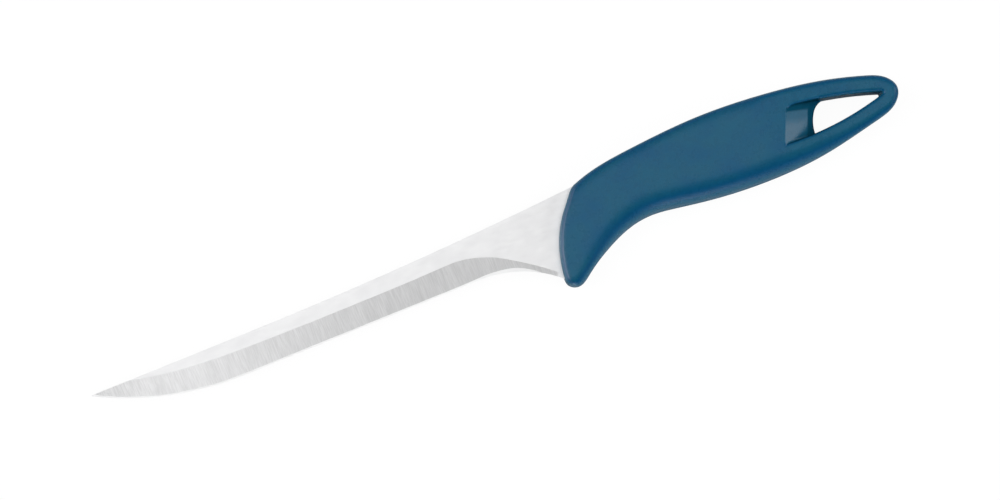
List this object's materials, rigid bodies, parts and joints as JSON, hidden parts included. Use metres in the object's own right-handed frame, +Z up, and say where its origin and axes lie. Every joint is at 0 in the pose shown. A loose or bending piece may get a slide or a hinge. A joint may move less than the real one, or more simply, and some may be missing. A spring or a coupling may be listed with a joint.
{
  "type": "fillet knife",
  "caption": "Fillet knife with a slim flexible stainless blade moulded into a blue plastic handle that has a finger guard and an open hang hole at the tail.",
  "frame": {"origin": "middle of the knife's bounding box at the level of the surface it lies on, with the knife lying on its side", "axes": "+X along the knife from the blade's tip to the handle's tail, +Y from the cutting edge towards the spine, +Z up through the thickness"},
  "size_m": [0.3168, 0.0412, 0.018],
  "materials": {
    "stainless_steel": "satin flat with fine grinding marks square to the edge on the bevel",
    "blue_plastic": "fine matt mould texture, smoother on the slopes into the hang hole"
  },
  "bodies": {
    "root": {"blade": "stainless_steel", "handle": "blue_plastic"}
  },
  "joints": []
}
